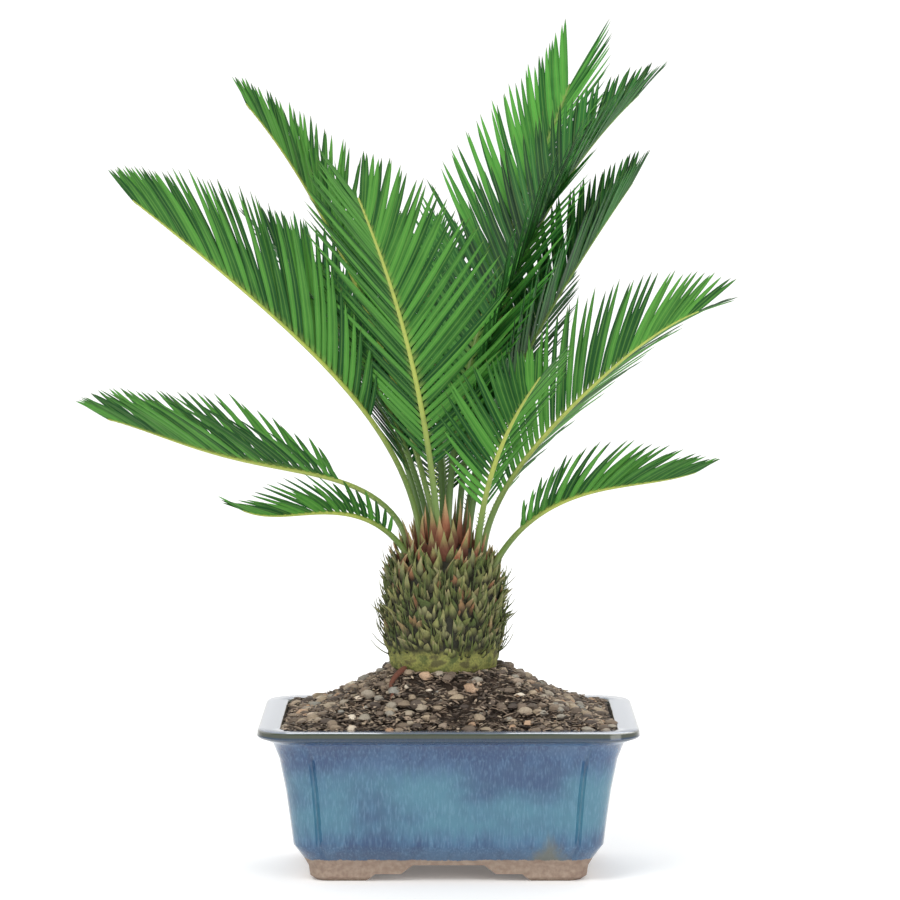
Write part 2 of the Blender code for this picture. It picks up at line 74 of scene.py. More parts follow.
# Pot, as in the part's source; each row outside holds an inset, a height and a corner radius
HALF_WIDTH = 0.1015
HALF_DEPTH = 0.0760
POT_HEIGHT = 0.0833
LIP_WIDTH = 0.0125
INNER_LEAN = 0.0120
FLOOR_TOP = 0.0160
FLOOR_CHAMFER = 0.0060
FLOOR_CORNER = 0.0060
WALL_CORNER = 0.0080
MOUTH_CORNER = 0.0095
FOOT_ROW = 2
FOOT_RECESS = 0.0090
FOOT_RING_WIDTH = 0.0170
ARCH_STEP = 0.0040
ARCH_FRONT = (0.0440, 0.0392, 0.0253, 0.0189)
ARCH_SIDE = (0.0235, 0.0195, 0.0105, 0.0060)
CUT_BELOW = -0.003
GROOVE_WIDTH = 0.0034
GROOVE_DEPTH = 0.0014
GROOVE_LOW = 0.0130
GROOVE_HIGH = 0.0740
GROOVE_FADE = 0.004
GROOVE_STEPS = 4
GLAZE_EDGE = 0.0122
PATCH_SHIFT = 0.0530
CORNER_STEPS = 10
WALL_RING_SPACING = 0.004
POT_SHARP_ANGLE = math.radians(42.0)
POT_OUTSIDE = (
    (0.0303, 0.0000, 0.0080),
    (0.0275, 0.0022, 0.0095),
    (0.0267, 0.0076, 0.0100),
    (0.0246, 0.0114, 0.0110),
    (0.0188, 0.0200, 0.0125),
    (0.0169, 0.0348, 0.0135),
    (0.0149, 0.0491, 0.0145),
    (0.0115, 0.0667, 0.0160),
    (0.0083, 0.0752, 0.0170),
    (0.0050, 0.0772, 0.0180),
    (0.0008, 0.0789, 0.0195),
    (0.0000, 0.0800, 0.0200),
    (0.0003, 0.0824, 0.0200),
    (0.0015, 0.0833, 0.0190),
)

# Soil, on the heights of the part's source, with a slightly hollower slope for what lies on it.
# Each level of a pebble or shred holds its place along the piece, then its girth.
SOIL_EDGE = POT_HEIGHT - 0.0016
SOIL_GAP = 0.0003
SOIL_EDGE_GAP = 0.0006
SOIL_RINGS = 29
SOIL_LUMP = 0.0010
SOIL_SINK = 0.0008
GROUND = 0.1085
MOUND_TOP_RADIUS = 0.0330
MOUND_SWELL = 1.5
SCATTER_MARGIN = 0.0022
PEBBLE_COUNT = 1500
PEBBLE_SIDES = 6
PEBBLE_LEVELS = ((-0.75, 0.62), (-0.15, 1.0), (0.40, 0.90), (0.85, 0.45))
SHRED_COUNT = 7000
SHRED_LEVELS = ((-0.5, 0.5), (-0.1, 1.0), (0.25, 0.9), (0.5, 0.35))
ROOT_RADIUS = 0.0019
ROOT_TAPER = 0.10
ROUND_SIDES = 8
ROOT_ROUTE = (
    (-0.0225, -0.0215, 0.0035),
    (-0.0265, -0.0270, 0.0048),
    (-0.0300, -0.0285, 0.0030),
    (-0.0315, -0.0315, 0.0012),
    (-0.0290, -0.0350, 0.0022),
    (-0.0310, -0.0385, 0.0002),
)

# Caudex, on the profile of the part's source: radius, then height over the soil
TRUNK_SHIFT = 0.0025
TRUNK_CLEAR = 0.0275
TRUNK_AXIS = CENTRE + Vector((-TRUNK_SHIFT, 0.0, 0.0))
TRUNK_PROFILE = (
    (0.0280, 0.0000),
    (0.0302, 0.0060),
    (0.0318, 0.0160),
    (0.0324, 0.0290),
    (0.0316, 0.0400),
    (0.0300, 0.0490),
    (0.0262, 0.0560),
    (0.0190, 0.0630),
    (0.0110, 0.0685),
    (0.0045, 0.0712),
)
SHOULDER_ROW = 5
GOLDEN_ANGLE = math.radians(137.508)
CORE_RINGS = 46
CORE_SIDES = 72
CORE_SINK = 0.0012
CORE_THINNEST = 0.002
LOBE_DEPTH = 0.0018
LOBE_HEIGHT = 0.020
SCALE_COUNT = 760
SCALE_FOOT = 0.0105
SCALE_CLIMB = 0.0485
SCALE_HALF_WIDTH = 0.0027
SCALE_GIRTHS = (0.85, 1.0, 0.88, 0.62, 0.30)
FIBRE_COUNT = 280
FIBRE_FOOT = 0.0080
FIBRE_CLIMB = 0.0480
FIBRE_GIRTHS = (1.0, 0.85, 0.65, 0.45, 0.22)
SHEATH_COUNT = 52
SHEATH_START = 0.0030
SHEATH_SPREAD = 0.0195
SHEATH_SINK = 0.0030
SHEATH_HALF_WIDTH = 0.0033
SHEATH_GIRTHS = (0.9, 1.0, 0.80, 0.50, 0.22)
BASE_HALF_DEEP = 0.0012
BASE_ACROSS = (1.0, 0.5, 0.5, 1.0, 1.0)

# Fronds, as in the part's source, with more and narrower leaflets. A frond has its seat on the
# crown, its azimuth, four leans from upright along the rib, and its length. Then come the share
# of the rib that is bare, the longest leaflet, the last leaflet's share of that, the angle at
# which both rows rise to a vee, and the roll about the rib. Angles are in degrees.
STALK_BASE_RADIUS = 0.0022
STALK_TIP_RADIUS = 0.0005
STALK_STEPS = 40
STALK_ROOT = 0.0030
THORN_PITCH = 0.0045
THORN_START = 0.10
THORN_LENGTH = 0.0028
LEAFLET_PITCH = 0.0042
LEAFLET_WIDTH = 0.0034
LEAFLET_THICKNESS = 0.0005
LEAFLET_LEVELS = ((0.0, 0.50), (0.08, 0.82), (0.28, 1.0), (0.50, 0.96), (0.72, 0.74), (0.90, 0.40))
LEAFLET_ACROSS = (1.0, 0.0, 1.0, 0.0)
LEAFLET_BELLY = 0.45
LEAFLET_DROOP = 0.10
LEAFLET_FORWARD = 0.22
LEAFLET_ANGLE = 58.0
LEAFLET_ANGLE_FALL = 30.0
LEAFLET_ANGLE_TIP_FALL = 8.0
HEAP_SHARP_ANGLE = math.radians(50.0)
BEHIND = ("frond_left_behind", "frond_right_behind", "frond_tall_right_behind")
Frond = namedtuple("Frond", "name seat azimuth leans length bare leaflet end vee roll")
FRONDS = (
    Frond("frond_left_low_long", (-0.0195, 0.0050), 168, (0, 76, 76, 78), 0.193, 0.30, 0.064, 0.38, 46, 0),
    Frond("frond_left_low_short", (-0.019, -0.009), 208, (32, 70, 92, 66), 0.108, 0.16, 0.038, 0.45, 38, 0),
    Frond("frond_left_high", (-0.0124, -0.0010), 183, (4, 38, 49, 52), 0.248, 0.30, 0.082, 0.30, 52, 0),
    Frond("frond_left_behind", (-0.0070, 0.0065), 140, (12, 32, 44, 48), 0.198, 0.25, 0.074, 0.45, 30, 0),
    Frond("frond_front_left", (-0.0025, -0.0075), 245, (12, 22, 34, 42), 0.213, 0.20, 0.084, 0.45, 18, 0),
    Frond("frond_tall_left", (-0.0035, 0.0000), 165, (12, 20, 28, 42), 0.260, 0.25, 0.062, 0.35, 50, 0),
    Frond("frond_tall_right", (0.0020, -0.0055), 55, (2, 22, 35, 33), 0.278, 0.20, 0.080, 0.62, 20, 0),
    Frond("frond_tall_right_behind", (0.0075, 0.0035), 30, (3, 17, 33, 52), 0.275, 0.25, 0.066, 0.45, 40, 0),
    Frond("frond_right_behind", (0.0130, -0.0015), 25, (4, 24, 34, 38), 0.222, 0.25, 0.062, 0.40, 45, 0),
    Frond("frond_right_high", (0.0210, 0.0010), 0, (4, 38, 48, 68), 0.182, 0.18, 0.066, 0.45, 28, 40),
    Frond("frond_right_front", (0.0180, -0.0085), 296, (8, 30, 46, 54), 0.128, 0.20, 0.055, 0.50, 30, 0),
    Frond("frond_right_low", (0.0265, -0.0050), 350, (26, 58, 80, 70), 0.128, 0.20, 0.046, 0.40, 44, 0),
    Frond("frond_back_left", (-0.0100, 0.0145), 125, (10, 40, 52, 60), 0.198, 0.22, 0.066, 0.45, 35, 0),
    Frond("frond_back_right", (0.0110, 0.0115), 68, (10, 40, 54, 62), 0.190, 0.22, 0.066, 0.45, 35, 0),
    Frond("frond_back_tall", (0.0000, 0.0110), 98, (8, 28, 42, 54), 0.198, 0.22, 0.066, 0.45, 30, 0),
    Frond("frond_back_low", (0.0010, 0.0200), 92, (20, 58, 80, 88), 0.150, 0.22, 0.052, 0.45, 25, 0),
)


class Wire:
    """A node socket that does sums: an expression on wires adds its Math nodes."""

    def __init__(self, tree, socket):
        self.tree = tree
        self.socket = socket

    def node(self, kind, settings=None, **values):
        """A node of a kind, with its settings, then the values or wires of its sockets."""
        made = self.tree.nodes.new(kind)
        for name, value in (settings or {}).items():
            if name == "stops":
                ramp = made.color_ramp
                while len(ramp.elements) < len(value):
                    ramp.elements.new(1.0)
                for element, (place, shade) in zip(ramp.elements, value):
                    element.position = place
                    element.color = shade
            else:
                setattr(made, name, value)
        for name, value in values.items():
            key = int(name[1:]) if name[1:].isdigit() else name.replace("_", " ")
            socket = made.inputs[key]
            if isinstance(value, Wire):
                self.tree.links.new(value.socket, socket)
            else:
                socket.default_value = value
        return made

    def out(self, made, key=0):
        """A wire from one of a node's outputs."""
        return Wire(self.tree, made.outputs[key])

    def math(self, operation, first, second=0.0):
        """A Math node on wires or numbers."""
        return self.out(self.node("ShaderNodeMath", {"operation": operation}, i0=first, i1=second))

    def __add__(self, other):
        return self.math("ADD", self, other)

    def __radd__(self, other):
        return self.math("ADD", other, self)

    def __sub__(self, other):
        return self.math("SUBTRACT", self, other)

    def __rsub__(self, other):
        return self.math("SUBTRACT", other, self)

    def __mul__(self, other):
        return self.math("MULTIPLY", self, other)

    def __rmul__(self, other):
        return self.math("MULTIPLY", other, self)

    def band(self, low, high):
        """0 below low, 1 above high, smooth between."""
        made = self.node(
            "ShaderNodeMapRange", {"interpolation_type": "SMOOTHSTEP"},
            Value=self, From_Min=low, From_Max=high, To_Min=0.0, To_Max=1.0,
        )
        return self.out(made)

    def noise(self, scale, detail=4.0, stretch=(1.0, 1.0, 1.0)):
        """Noise on this vector, stretched along its axes."""
        mapped = self.node("ShaderNodeMapping", None, Vector=self, Scale=stretch)
        made = self.node("ShaderNodeTexNoise", None, Vector=self.out(mapped), Scale=scale, Detail=detail)
        return self.out(made, "Fac" if "Fac" in made.outputs else 0)

    def mix(self, first, second):
        """Colour first where this is 0, colour second where it is 1."""
        made = self.node("ShaderNodeMix", {"data_type": "RGBA"}, i0=self, i6=first, i7=second)
        return self.out(made, 2)


def colour(red, green, blue):
    """A colour as seen on screen, 0 to 255, turned to the shader's linear values."""
    linear = []
    for value in (red, green, blue):
        share = value / 255.0
        linear.append(share / 12.92 if share <= 0.04045 else ((share + 0.055) / 1.055) ** 2.4)
    return (*linear, 1.0)


def new_finish(name, **constants):
    """A material, its shader, and a wire to start expressions from."""
    made = bpy.data.materials.new(name)
    made.use_nodes = True
    tree = made.node_tree
    shader = tree.nodes["Principled BSDF"]
    for key, value in constants.items():
        shader.inputs[key.replace("_", " ")].default_value = value
    place = Wire(tree, tree.nodes.new("ShaderNodeTexCoord").outputs["Object"])
    return made, shader, place


def feed(shader, key, wire):
    """Lead a wire to one of the shader's sockets."""
    wire.tree.links.new(wire.socket, shader.inputs[key])


def feed_bump(shader, height, strength, distance):
    """Small relief from a height wire."""
    made = height.node("ShaderNodeBump", None, Height=height, Strength=strength, Distance=distance)
    feed(shader, "Normal", height.out(made, "Normal"))


def split(place):
    """The three parts of a place, each a wire."""
    made = place.node("ShaderNodeSeparateXYZ", None, Vector=place)
    return [place.out(made, axis) for axis in "XYZ"]


def attribute(place, name):
    """A number that the mesh holds at each point."""
    return place.out(place.node("ShaderNodeAttribute", {"attribute_name": name}), "Fac")


def glaze_finish():
    """Blue glaze with turquoise cloud, streaks and a bare clay foot."""
    made, shader, place = new_finish("blue_running_glaze", Coat_Roughness=0.04, IOR=1.52)
    x, y, z = split(place)
    cloud_noise = place.noise(17.0, 3.0, (1.0, 1.0, 1.7))
    fine_streak = place.noise(1100.0, 4.0, (1.0, 1.0, 0.10))
    broad_streak = place.noise(240.0, 4.0, (1.0, 1.0, 0.14))
    speckle = place.noise(1900.0, 2.0)

    blue = (cloud_noise * 0.5 + broad_streak * 0.3 + fine_streak * 0.2).band(0.42, 0.60)
    body = blue.mix(colour(36, 66, 104), colour(58, 96, 130))
    purple = (z + cloud_noise * 0.030 + broad_streak * 0.010).band(0.068, 0.096) * 0.32
    body = purple.mix(body, colour(50, 68, 112))
    ragged = z + broad_streak * 0.012
    window = ragged.band(0.024, 0.040) * (1.0 - ragged.band(0.058, 0.074))
    cloud = window * cloud_noise.band(0.32, 0.64)
    body = (cloud * 0.80).mix(body, colour(66, 118, 136))
    streaked = fine_streak.band(0.46, 0.74) * 0.28
    body = streaked.mix(body, colour(108, 144, 168))
    dark_fleck = speckle.band(0.60, 0.74) * 0.30
    body = dark_fleck.mix(body, colour(44, 72, 112))
    low = (1.0 - (z + broad_streak * 0.006).band(0.0150, 0.0250)) * 0.45
    body = low.mix(body, colour(50, 78, 104))
    # Dark band from under the lip up the rim face: the rim face's own dark blue glaze, and painted shade on
    # the lip's underside
    rim_face_and_under_lip_shade = z.band(0.0764, 0.0784)
    body = (rim_face_and_under_lip_shade * 0.80).mix(body, colour(30, 48, 66))
    edge_line = z.band(0.0800, 0.0814)
    body = (edge_line * 0.8).mix(body, colour(70, 72, 50))
    # Pale band on the lip's top: a painted highlight where the flat top catches the light
    lip_top_highlight = z.band(0.0829, 0.08325)
    body = (lip_top_highlight * 0.9).mix(body, colour(114, 126, 146))
    patch_x = x - (CENTRE.x + PATCH_SHIFT)
    patch_wide = place.math("ABSOLUTE", patch_x) + z * 0.80 + broad_streak * 0.012 + cloud_noise * 0.010
    patch = (1.0 - patch_wide.band(0.0260, 0.0370)) * (1.0 - (y - CENTRE.y).band(-0.045, -0.040))
    body = (patch * 0.65).mix(body, colour(104, 100, 70))

    rim_of_glaze = z + fine_streak * 0.0012 + broad_streak * 0.0022
    glazed = rim_of_glaze.band(GLAZE_EDGE + 0.0012, GLAZE_EDGE + 0.0019)
    clay_grain = place.noise(380.0, 5.0)
    clay = clay_grain.band(0.30, 0.72).mix(colour(136, 116, 102), colour(160, 142, 126))
    stained = place.noise(60.0, 3.0).band(0.50, 0.75) * 0.5
    clay = stained.mix(clay, colour(112, 86, 74))
    feed(shader, "Base Color", glazed.mix(clay, body))
    feed(shader, "Roughness", 0.85 - glazed * 0.73 + speckle * 0.04)
    feed(shader, "Coat Weight", glazed * 0.5)
    relief = glazed * 0.5 + fine_streak * 0.03 + clay_grain * (1.0 - glazed) * 0.12 + cloud_noise * 0.15
    feed_bump(shader, relief, 0.35, 0.0012)
    return made


def soil_finish():
    """Damp dark ground, seen only between the shreds."""
    made, shader, place = new_finish("damp_bark_mix")
    coarse = place.noise(160.0, 6.0)
    fine = place.noise(900.0, 4.0)
    shade = (coarse * 0.6 + fine * 0.4).band(0.35, 0.65)
    feed(shader, "Base Color", shade.mix(colour(44, 36, 32), colour(100, 84, 72)))
    feed(shader, "Roughness", 0.92 + fine * 0.05)
    feed_bump(shader, coarse + fine * 0.5, 0.9, 0.002)
    return made


def grain_finish(name, stops, roughness):
    """Grit or bark, each piece in its own colour."""
    made, shader, place = new_finish(name)
    tint = attribute(place, "tint")
    ramp = place.node("ShaderNodeValToRGB", {"stops": stops}, Fac=tint)
    fine = place.noise(1400.0, 4.0)
    mottled = fine.band(0.40, 0.70) * 0.28
    feed(shader, "Base Color", mottled.mix(place.out(ramp), colour(70, 60, 54)))
    feed(shader, "Roughness", roughness + fine * 0.1)
    feed_bump(shader, fine, 0.5, 0.0006)
    return made


def bark_finish():
    """Old leaf bases: olive and grey-brown with moss, smooth yellow-green at the foot."""
    made, shader, place = new_finish("leaf_base_bark")
    z = split(place)[2]
    tint = attribute(place, "tint")
    along = attribute(place, "along")
    patchy = place.noise(110.0, 5.0)
    fibre = place.noise(800.0, 5.0, (1.0, 1.0, 0.25))
    olive = (tint * 0.8 + patchy * 0.4).band(0.25, 0.95)
    body = olive.mix(colour(78, 92, 46), colour(176, 170, 108))
    grey = (tint * 0.5 + patchy * 0.6).band(0.52, 0.66) * 0.6
    body = grey.mix(body, colour(92, 100, 80))
    few = tint.band(0.70, 0.76) - tint.band(0.84, 0.88)
    brown = few * (z + patchy * 0.02).band(GROUND + 0.020, GROUND + 0.050)
    body = (brown * 0.85).mix(body, colour(142, 92, 64))
    moss = (1.0 - (z + patchy * 0.012).band(GROUND + 0.014, GROUND + 0.022)) * 0.9
    body = moss.mix(body, colour(132, 140, 66))
    mossy = patchy.band(0.54, 0.66) * 0.55
    body = mossy.mix(body, colour(98, 116, 48))
    tips = along.band(0.62, 1.0) * tint.band(0.45, 0.9)
    body = tips.mix(body, colour(174, 160, 118))
    # Dark at the foot of every leaf base: painted shade in the creases where the bases overlap
    shade_at_roots = (1.0 - along.band(0.05, 0.60)) * 0.85
    body = shade_at_roots.mix(body, colour(34, 32, 22))
    streaks = fibre.band(0.50, 0.72) * 0.40
    body = streaks.mix(body, colour(60, 50, 34))
    feed(shader, "Base Color", body)
    feed(shader, "Roughness", 0.78 + fibre * 0.15)
    feed_bump(shader, fibre + patchy * 0.4, 0.9, 0.0012)
    return made


def core_finish():
    """The stem between the leaf bases: dark high up, painted as the shade in the gaps between them, and
    smooth mossy yellow-green at the foot.
    """
    made, shader, place = new_finish("caudex_core_moss")
    z = split(place)[2]
    patchy = place.noise(120.0, 5.0)
    fine = place.noise(900.0, 4.0)
    foot = (patchy * 0.7 + fine * 0.3).band(0.36, 0.62).mix(colour(76, 86, 42), colour(146, 146, 76))
    foot = (patchy.band(0.52, 0.64) * 0.8).mix(foot, colour(58, 54, 36))
    # Dark above the foot: painted shade in the gaps between the leaf bases
    high = (z + patchy * 0.008).band(GROUND + 0.013, GROUND + 0.019)
    feed(shader, "Base Color", high.mix(foot, colour(38, 38, 26)))
    feed(shader, "Roughness", 0.75 + fine * 0.2)
    feed_bump(shader, patchy + fine * 0.5, 0.8, 0.0012)
    return made


def sheath_finish():
    """The pointed crown sheaths: red-brown with dry tan and green tips."""
    made, shader, place = new_finish("red_brown_sheath")
    tint = attribute(place, "tint")
    along = attribute(place, "along")
    fibre = place.noise(800.0, 5.0, (1.0, 1.0, 0.2))
    body = (tint * 0.7 + fibre * 0.4).band(0.25, 0.85).mix(colour(100, 58, 42), colour(166, 104, 74))
    tips = along.band(0.35, 0.85) * 0.8
    body = tips.mix(body, tint.band(0.3, 0.7).mix(colour(140, 140, 84), colour(182, 156, 112)))
    streaks = fibre.band(0.50, 0.72) * 0.45
    body = streaks.mix(body, colour(60, 40, 28))
    feed(shader, "Base Color", body)
    feed(shader, "Roughness", 0.72 + fibre * 0.2)
    feed_bump(shader, fibre, 0.8, 0.0010)
    return made


def leaf_finish(name, shaded, bright):
    """Leathery leaflets: a pale midrib, darker edges, a dry tip."""
    made, shader, place = new_finish(name, Coat_Roughness=0.30, Specular_IOR_Level=0.14)
    tint = attribute(place, "tint")
    along = attribute(place, "along")
    across = attribute(place, "across")
    mottle = place.noise(60.0, 3.0)
    fine = place.noise(800.0, 3.0)
    body = (tint * 0.75 + mottle * 0.35).band(0.20, 0.90).mix(colour(*shaded), colour(*bright))
    midrib = (1.0 - across.band(0.10, 0.30)) * 0.30
    body = midrib.mix(body, colour(112, 160, 70))
    margin = across.band(0.70, 1.0) * 0.35
    body = margin.mix(body, colour(20, 56, 18))
    foot = (1.0 - along.band(0.0, 0.10)) * 0.5
    body = foot.mix(body, colour(150, 168, 84))
    dry = along.band(0.93, 1.0) * 0.6
    body = dry.mix(body, colour(86, 74, 42))
    feed(shader, "Base Color", body)
    feed(shader, "Roughness", 0.48 + fine * 0.14)
    feed(shader, "Coat Weight", mottle * 0.10)
    feed_bump(shader, fine + across * 0.6, 0.25, 0.0004)
    return made


def rib_finish(name, low, high):
    """The stalk: grey-green with bloom at the foot, yellow-green along the blade."""
    made, shader, place = new_finish(name)
    along = attribute(place, "along")
    fine = place.noise(500.0, 4.0, (1.0, 1.0, 0.3))
    body = along.band(0.10, 0.45).mix(colour(*low), colour(*high))
    bloom = (1.0 - along.band(0.0, 0.10)) * 0.6
    body = bloom.mix(body, colour(126, 130, 84))
    mottle = fine.band(0.50, 0.75) * 0.3
    body = mottle.mix(body, colour(84, 108, 52))
    feed(shader, "Base Color", body)
    feed(shader, "Roughness", 0.42 + fine * 0.15)
    feed_bump(shader, fine, 0.3, 0.0004)
    return made


def dressed(mesh_or_bmesh, name, finish, node):
    """Link a piece, give it its finish, hang it under the root body and hide the part it stands in for."""
    if isinstance(mesh_or_bmesh, bmesh.types.BMesh):
        bmesh.ops.recalc_face_normals(mesh_or_bmesh, faces=mesh_or_bmesh.faces)
        mesh = bpy.data.meshes.new(name)
        mesh_or_bmesh.to_mesh(mesh)
        mesh_or_bmesh.free()
    else:
        mesh = mesh_or_bmesh
    piece = bpy.data.objects.new(name, mesh)
    bpy.context.scene.collection.objects.link(piece)
    mesh.materials.clear()
    mesh.materials.append(finish)
    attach(piece, "root")
    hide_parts(node)
    return piece


class Heap:
    """Many small closed pieces of one kind, gathered into one mesh."""

    def __init__(self):
        self.points = []
        self.faces = []
        self.values = {"tint": [], "along": [], "across": []}

    def tube(self, rings, tint, alongs, across, point=None):
        """Rings of equal count skinned into one closed piece, with a pointed or capped end."""
        start = len(self.points)
        count = len(rings[0])
        for ring, along in zip(rings, alongs):
            self.points.extend(ring)
            self.values["tint"].extend([tint] * count)
            self.values["along"].extend([along] * count)
            self.values["across"].extend(across)
        for level in range(len(rings) - 1):
            base = start + level * count
            for i in range(count):
                j = (i + 1) % count
                self.faces.append((base + i, base + j, base + count + j, base + count + i))
        self.faces.append(tuple(start + i for i in reversed(range(count))))
        last = start + (len(rings) - 1) * count
        if point is None:
            self.faces.append(tuple(last + i for i in range(count)))
            return
        self.points.append(point)
        self.values["tint"].append(tint)
        self.values["along"].append(1.0)
        self.values["across"].append(0.0)
        for i in range(count):
            self.faces.append((last + i, last + (i + 1) % count, last + count))

    def mesh(self, name):
        """The whole heap as one mesh, faces outwards, rounded where it bends gently."""
        made = bpy.data.meshes.new(name)
        made.from_pydata([tuple(point) for point in self.points], [], self.faces)
        for key, values in self.values.items():
            layer = made.attributes.new(key, "FLOAT", "POINT")
            layer.data.foreach_set("value", values)
        bm = bmesh.new()
        bm.from_mesh(made)
        bmesh.ops.recalc_face_normals(bm, faces=bm.faces)
        bm.to_mesh(made)
        bm.free()
        made.shade_smooth()
        made.set_sharp_from_angle(angle=HEAP_SHARP_ANGLE)
        return made


def rounded_outline(half_x, half_y, radius, groove=0.0):
    """Groove, quarter round, groove at each of the four corners, with the straight sides between."""
    points = []
    for turn in range(4):
        half_a, half_b = (half_x, half_y) if turn % 2 == 0 else (half_y, half_x)
        start = -(radius - half_b)
        corner = []
        for step in range(GROOVE_STEPS + 1):
            share = step / GROOVE_STEPS
            dip = groove * math.sin(math.pi * share)
            corner.append((half_a - dip, start - GROOVE_WIDTH * (1.0 - share)))
        for step in range(1, CORNER_STEPS):
            angle = math.radians(90.0 * step / CORNER_STEPS)
            corner.append((
                half_a - radius + radius * math.cos(angle),
                half_b - radius + radius * math.sin(angle),
            ))
        for step in range(GROOVE_STEPS + 1):
            share = step / GROOVE_STEPS
            dip = groove * math.sin(math.pi * share)
            corner.append((half_a - radius - GROOVE_WIDTH * share, half_b - dip))
        swing = math.radians(90.0 * turn)
        for x, y in corner:
            points.append((
                x * math.cos(swing) - y * math.sin(swing),
                x * math.sin(swing) + y * math.cos(swing),
            ))
    return points


def extrude_through(bm, rings):
    """Draw the first ring, then extrude its edges from ring to ring and close both ends."""
    verts = [bm.verts.new(point) for point in rings[0]]
    first = [bm.edges.new((a, b)) for a, b in zip(verts, verts[1:] + verts[:1])]
    edges = first
    for before, after in zip(rings, rings[1:]):
        order = {tuple(round(value, 7) for value in point): i for i, point in enumerate(before)}
        made = bmesh.ops.extrude_edge_only(bm, edges=edges)["geom"]
        edges = [item for item in made if isinstance(item, bmesh.types.BMEdge)]
        fresh = [item for item in made if isinstance(item, bmesh.types.BMVert)]
        edges = [edge for edge in edges if all(vertex in fresh for vertex in edge.verts)]
        for vertex in fresh:
            vertex.co = after[order[tuple(round(value, 7) for value in vertex.co)]]
    bmesh.ops.contextual_create(bm, geom=first)
    bmesh.ops.contextual_create(bm, geom=edges)


def single(rings):
    """Rings rounded to what the extrusion can look up."""
    return [[tuple(float(np.float32(value)) for value in point) for point in ring] for ring in rings]


def pot_ring(inset, height, radius, groove=0.0):
    """The pot's outline at a height, drawn in from the rim by an inset."""
    outline = rounded_outline(HALF_WIDTH - inset, HALF_DEPTH - inset, radius, groove)
    return [(x + CENTRE.x, y + CENTRE.y, height) for x, y in outline]


def inner_inset(height):
    """How far inside the rim's edge the leaning inner wall stands at a height."""
    return LIP_WIDTH + INNER_LEAN * (POT_HEIGHT - height) / (POT_HEIGHT - FLOOR_TOP)


def cutter(name, rings):
    """A closed shape that is only there to be cut away."""
    bm = bmesh.new()
    extrude_through(bm, single(rings))
    bmesh.ops.recalc_face_normals(bm, faces=bm.faces)
    mesh = bpy.data.meshes.new(name)
    bm.to_mesh(mesh)
    bm.free()
    made = bpy.data.objects.new(name, mesh)
    bpy.context.scene.collection.objects.link(made)
    return made


def arch_cutter(name, half_widths, length, turned):
    """The stepped arch between two feet, run through the whole pot."""
    mouth, step_out, step_in, crown = half_widths
    right = [
        (mouth, CUT_BELOW),
        (mouth, 0.0),
        (step_out, ARCH_STEP),
        (step_in, ARCH_STEP),
        (crown, FOOT_RECESS),
    ]
    profile = right + [(-x, z) for x, z in reversed(right)]
    rings = []
    for side in (-length, length):
        if turned:
            rings.append([(side + CENTRE.x, x + CENTRE.y, z) for x, z in profile])
        else:
            rings.append([(x + CENTRE.x, side + CENTRE.y, z) for x, z in profile])
    return cutter(name, rings)


def cut_away(piece, cutters):
    """Cut each cutter from the piece, apply it and remove the cutter."""
    for taken in cutters:
        modifier = piece.modifiers.new("cut", "BOOLEAN")
        modifier.operation = "DIFFERENCE"
        modifier.solver = "EXACT"
        modifier.object = taken
        bpy.context.view_layer.update()
        mesh = bpy.data.meshes.new_from_object(piece.evaluated_get(bpy.context.evaluated_depsgraph_get()))
        piece.modifiers.clear()
        piece.data = mesh
        bpy.data.objects.remove(taken, do_unlink=True)


def make_pot(finish):
    """The glazed pot: outside and inside walls in one skin, then the feet cut free."""
    fine = []
    for lower, upper in zip(POT_OUTSIDE, POT_OUTSIDE[1:]):
        parts = max(1, round((upper[1] - lower[1]) / WALL_RING_SPACING))
        for step in range(parts):
            fine.append(tuple(a + (b - a) * step / parts for a, b in zip(lower, upper)))
    fine.append(POT_OUTSIDE[-1])
    skin = []
    for inset, height, radius in fine:
        fade_in = max(0.0, (height - GROOVE_LOW) / GROOVE_FADE)
        fade_out = max(0.0, (GROOVE_HIGH - height) / GROOVE_FADE)
        skin.append(pot_ring(inset, height, radius, GROOVE_DEPTH * min(1.0, fade_in, fade_out)))
    low = FLOOR_TOP + FLOOR_CHAMFER
    for inset, height, radius in (
        (LIP_WIDTH - 0.0010, POT_HEIGHT, 0.0100),
        (LIP_WIDTH - 0.0003, POT_HEIGHT - 0.0004, 0.0097),
        (LIP_WIDTH, POT_HEIGHT - 0.0010, MOUTH_CORNER),
        (inner_inset(low), low, WALL_CORNER),
        (inner_inset(FLOOR_TOP) + FLOOR_CHAMFER, FLOOR_TOP, FLOOR_CORNER),
    ):
        skin.append(pot_ring(inset, height, radius))
    bm = bmesh.new()
    extrude_through(bm, single(skin))
    pot = dressed(bm, "glazed_pot", finish, "pot")
    foot_inset = POT_OUTSIDE[FOOT_ROW][0] + FOOT_RING_WIDTH
    recess = [pot_ring(foot_inset, height, FLOOR_CORNER) for height in (CUT_BELOW, FOOT_RECESS)]
    cut_away(pot, (
        cutter("recess_cutter", recess),
        arch_cutter("arch_front_cutter", ARCH_FRONT, HALF_DEPTH, False),
        arch_cutter("arch_side_cutter", ARCH_SIDE, HALF_WIDTH, True),
    ))
    pot.data.shade_smooth()
    pot.data.set_sharp_from_angle(angle=POT_SHARP_ANGLE)


def mound_height(x, y):
    """Height of the soil at a place measured from the pot's centre."""
    half_x = HALF_WIDTH - LIP_WIDTH - SOIL_EDGE_GAP
    half_y = HALF_DEPTH - LIP_WIDTH - SOIL_EDGE_GAP
    reach = math.hypot(x, y)
    if reach < 1e-9:
        return GROUND
    limit = min(half_x / max(abs(x) / reach, 1e-6), half_y / max(abs(y) / reach, 1e-6))
    share = min(1.0, max(0.0, (limit - reach) / (limit - MOUND_TOP_RADIUS)))
    return SOIL_EDGE + (GROUND - SOIL_GAP - SOIL_EDGE) * share ** MOUND_SWELL


